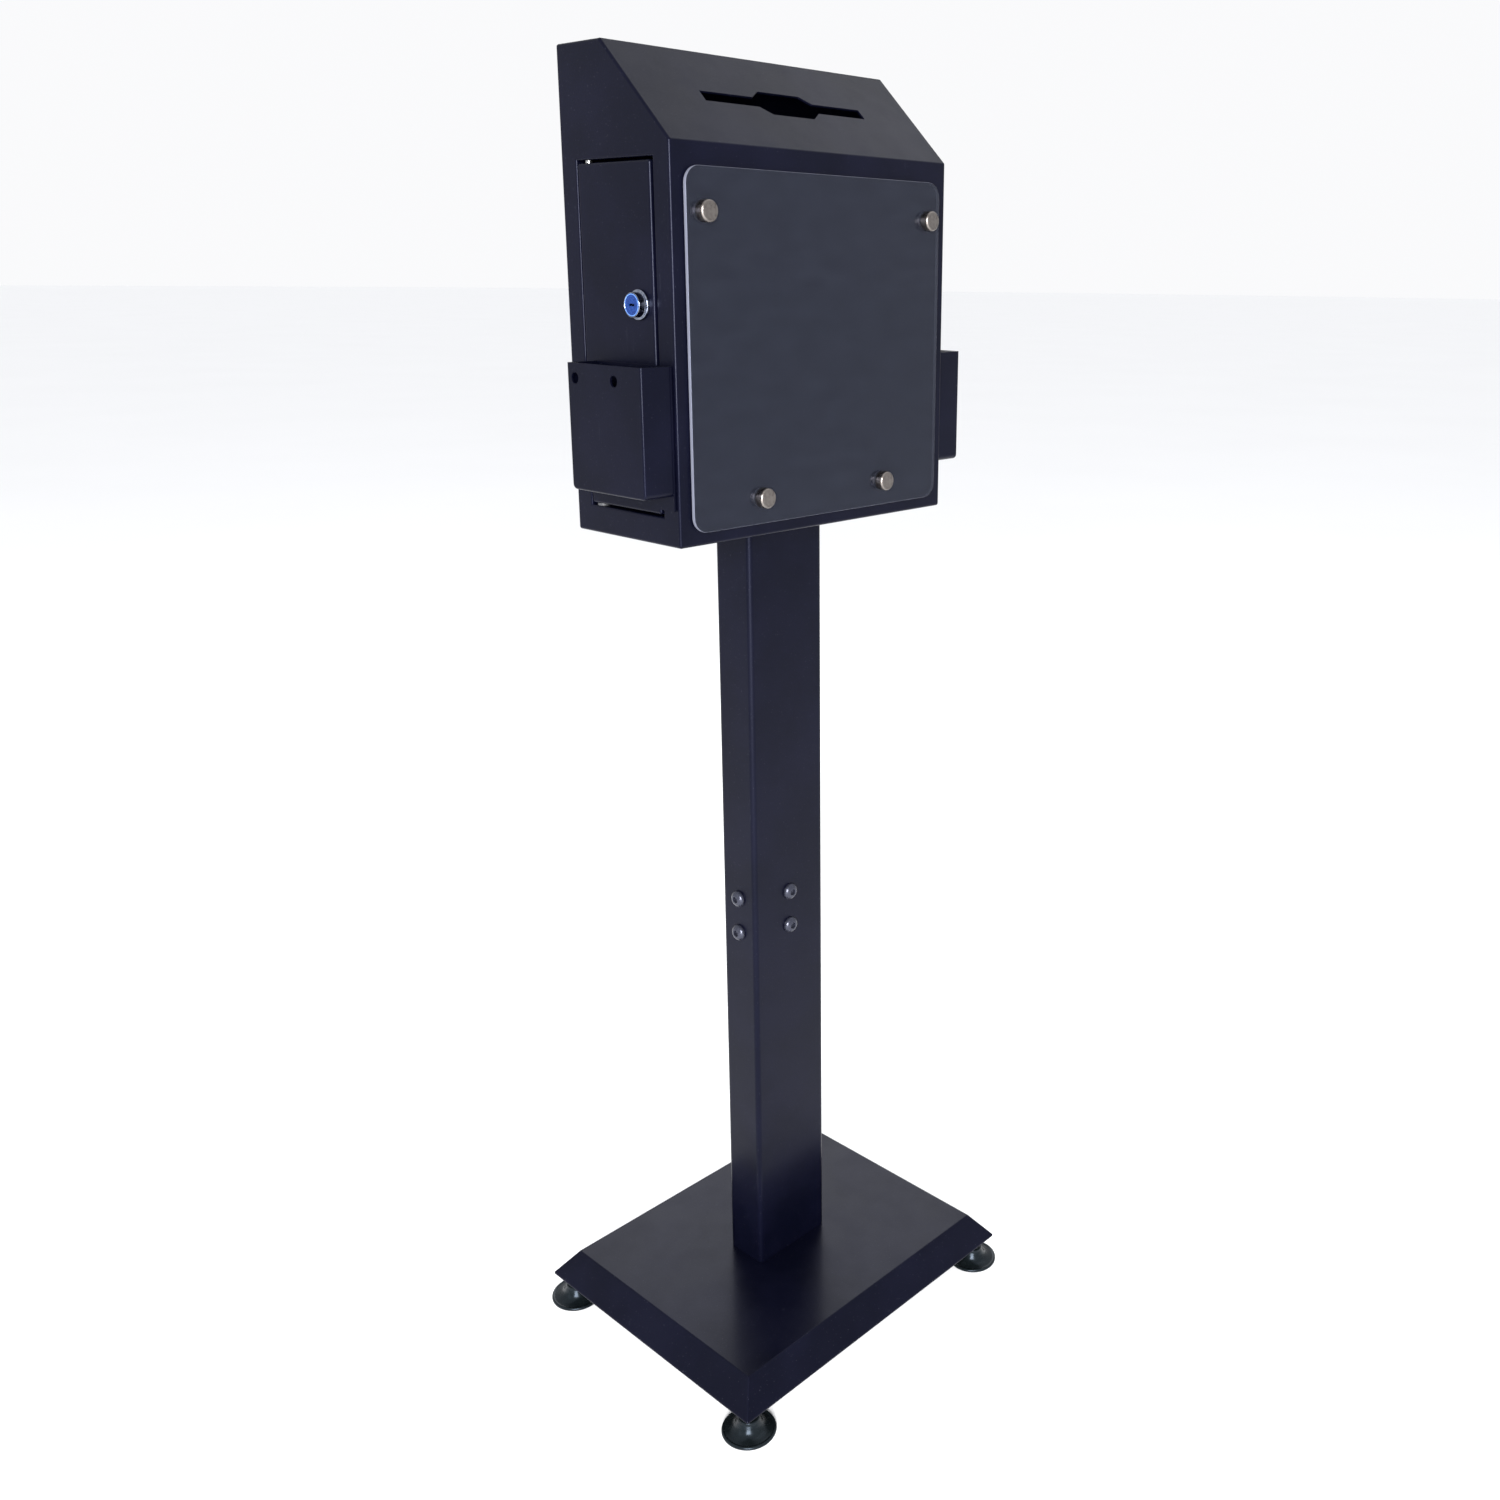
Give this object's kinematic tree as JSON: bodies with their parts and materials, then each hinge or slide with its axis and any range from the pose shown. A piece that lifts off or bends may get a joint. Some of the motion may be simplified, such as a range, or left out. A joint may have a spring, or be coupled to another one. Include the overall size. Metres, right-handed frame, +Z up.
{
  "type": "payment deposit box on a post",
  "caption": "Lockable deposit box with a sloped slotted top, side pockets and a clear sign panel, on a rectangular post and a low base with levelling feet.",
  "frame": {"origin": "on the floor, under the middle of the post", "axes": "+Z up; -Y the way the sign panel faces; -X the side with the door and the lock"},
  "size_m": [0.334, 0.2778, 1.0565],
  "materials": {
    "powder_coat": "satin black powder coat with a slight blue tone",
    "satin_stainless": "satin stainless",
    "zinc_steel": "bright zinc plate",
    "chromed_lock": "polished chrome plate",
    "blue_ring": "glossy blue",
    "clear_acrylic": "clear cast acrylic",
    "clear_spacer": "translucent nylon",
    "black_screw": "glossy black finish on a steel screw",
    "foot_plastic": "glossy black-green moulding",
    "nylon": "dark nylon"
  },
  "bodies": {
    "stand": {"housing_wrap": "powder_coat", "left_side_panel": "powder_coat", "right_side_panel": "powder_coat", "door_hinge_pins": "zinc_steel", "door_hinge_washer": "nylon", "door_stop_tabs": "powder_coat", "sign_panel": "clear_acrylic", "sign_caps": "satin_stainless", "sign_spacers": "clear_spacer", "sign_screws": "zinc_steel", "post_upper_tube": "powder_coat", "post_lower_tube": "powder_coat", "post_coupling_sleeve": "zinc_steel", "post_joint_screws": "black_screw", "post_joint_nuts": "zinc_steel", "post_head_plate": "zinc_steel", "housing_spreader_plate": "zinc_steel", "housing_bolt_washers": "zinc_steel", "housing_bolts": "zinc_steel", "post_foot_plate": "zinc_steel", "base_spreader_plate": "zinc_steel", "base_bolt_washers": "zinc_steel", "base_bolts": "zinc_steel", "base_tray": "powder_coat", "foot_inserts": "zinc_steel", "foot_jam_nuts": "zinc_steel", "right_pocket_backplate": "powder_coat", "right_pocket_bin": "powder_coat", "right_pocket_screws": "black_screw", "right_pocket_nuts": "zinc_steel"},
    "door": {"door": "powder_coat", "lock_housing": "chromed_lock", "lock_nut": "zinc_steel", "left_pocket_backplate": "powder_coat", "left_pocket_bin": "powder_coat", "left_pocket_screws": "black_screw", "left_pocket_nuts": "zinc_steel"},
    "lock_core": {"lock_plug": "chromed_lock", "lock_face_ring": "blue_ring", "lock_cam": "zinc_steel", "lock_cam_screw": "zinc_steel"},
    "foot_front_left": {"foot_pad_front_left": "foot_plastic", "foot_stud_front_left": "zinc_steel"},
    "foot_front_right": {"foot_pad_front_right": "foot_plastic", "foot_stud_front_right": "zinc_steel"},
    "foot_rear_left": {"foot_pad_rear_left": "foot_plastic", "foot_stud_rear_left": "zinc_steel"},
    "foot_rear_right": {"foot_pad_rear_right": "foot_plastic", "foot_stud_rear_right": "zinc_steel"}
  },
  "joints": [
    {"name": "door_hinge", "type": "hinge", "parent": "stand", "child": "door", "pos_m": [-0.135, 0.03385, 0.8585], "axis": [0, 0, -1], "range_deg": [0, 90]},
    {"name": "lock_turn", "type": "hinge", "parent": "door", "child": "lock_core", "pos_m": [-0.14, -0.02475, 0.8835], "axis": [1, 0, 0], "range_deg": [0, 90]},
    {"name": "foot_travel_front_left", "type": "slide", "parent": "stand", "child": "foot_front_left", "axis": [0, 0, -1], "range_m": [0, 0.004]},
    {"name": "foot_travel_front_right", "type": "slide", "parent": "stand", "child": "foot_front_right", "axis": [0, 0, -1], "range_m": [0, 0.004]},
    {"name": "foot_travel_rear_left", "type": "slide", "parent": "stand", "child": "foot_rear_left", "axis": [0, 0, -1], "range_m": [0, 0.004]},
    {"name": "foot_travel_rear_right", "type": "slide", "parent": "stand", "child": "foot_rear_right", "axis": [0, 0, -1], "range_m": [0, 0.004]}
  ]
}
